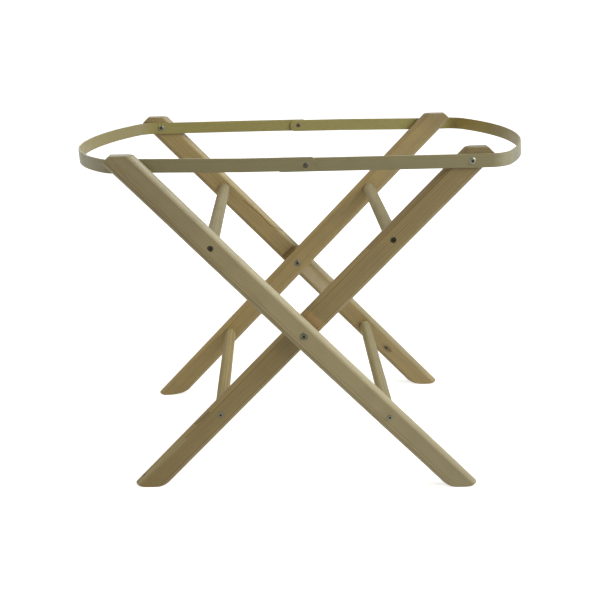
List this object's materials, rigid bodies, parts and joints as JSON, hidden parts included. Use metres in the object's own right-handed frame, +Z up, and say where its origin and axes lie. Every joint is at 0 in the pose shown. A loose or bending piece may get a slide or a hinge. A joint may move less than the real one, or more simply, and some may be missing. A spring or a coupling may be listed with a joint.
{
  "type": "bassinet stand",
  "caption": "Folding wooden stand for a bassinet: crossed legs joined by round dowels, under an oval hoop of bent-wood band in halves that fold up with the legs.",
  "frame": {"origin": "on the floor under the crossing of the legs, at the middle of the outside box", "axes": "+X along the hoop towards the inner legs' tops, +Y from front to back, +Z up"},
  "size_m": [0.8539, 0.4786, 0.678],
  "materials": {
    "leg_wood": "planed pine under a thin clear lacquer",
    "dowel_wood": "turned dowel under a thin clear lacquer",
    "band_wood": "bent plywood band with pale faces and darker sawn edges",
    "zinc": "bright zinc plate",
    "dark_steel": "dark oxidised steel",
    "nylon": "plain moulded nylon"
  },
  "bodies": {
    "outer_frame": {"outer_leg_front": "leg_wood", "outer_leg_back": "leg_wood", "outer_upper_dowel": "dowel_wood", "outer_lower_dowel": "dowel_wood", "outer_upper_screw_front": "dark_steel", "outer_upper_screw_back": "dark_steel", "outer_lower_screw_front": "zinc", "outer_lower_screw_back": "zinc", "pivot_bolt_front": "zinc", "pivot_bolt_back": "zinc", "pivot_nut_front": "zinc", "pivot_nut_back": "zinc", "pivot_spacer_front": "nylon", "pivot_spacer_back": "nylon", "left_hoop_screw_front": "zinc", "left_hoop_screw_back": "zinc"},
    "inner_frame": {"inner_leg_front": "leg_wood", "inner_leg_back": "leg_wood", "inner_upper_dowel": "dowel_wood", "inner_lower_dowel": "dowel_wood", "inner_upper_screw_front": "dark_steel", "inner_upper_screw_back": "dark_steel", "inner_lower_screw_front": "zinc", "inner_lower_screw_back": "zinc", "right_hoop_screw_front": "zinc", "right_hoop_screw_back": "zinc"},
    "left_hoop": {"hoop_left": "band_wood", "rivet_outer_front": "dark_steel", "rivet_outer_back": "dark_steel"},
    "right_hoop": {"hoop_right": "band_wood", "rivet_inner_front": "dark_steel", "rivet_inner_back": "dark_steel"}
  },
  "joints": [
    {"name": "stand_fold", "type": "hinge", "parent": "outer_frame", "child": "inner_frame", "pos_m": [0, 0, 0.3385], "axis": [0, -1, 0], "range_deg": [0, 46]},
    {"name": "left_hoop_turn", "type": "hinge", "parent": "outer_frame", "child": "left_hoop", "pos_m": [-0.29778, 0, 0.6545], "axis": [0, -1, 0], "range_deg": [0, 80.5]},
    {"name": "right_hoop_turn", "type": "hinge", "parent": "inner_frame", "child": "right_hoop", "pos_m": [0.29778, 0, 0.6545], "axis": [0, -1, 0], "range_deg": [-85.3, 0]}
  ],
  "couplings": [
    {"joint": "left_hoop_turn", "follows": "stand_fold", "ratio": 1.7437},
    {"joint": "right_hoop_turn", "follows": "stand_fold", "ratio": -1.8494}
  ]
}
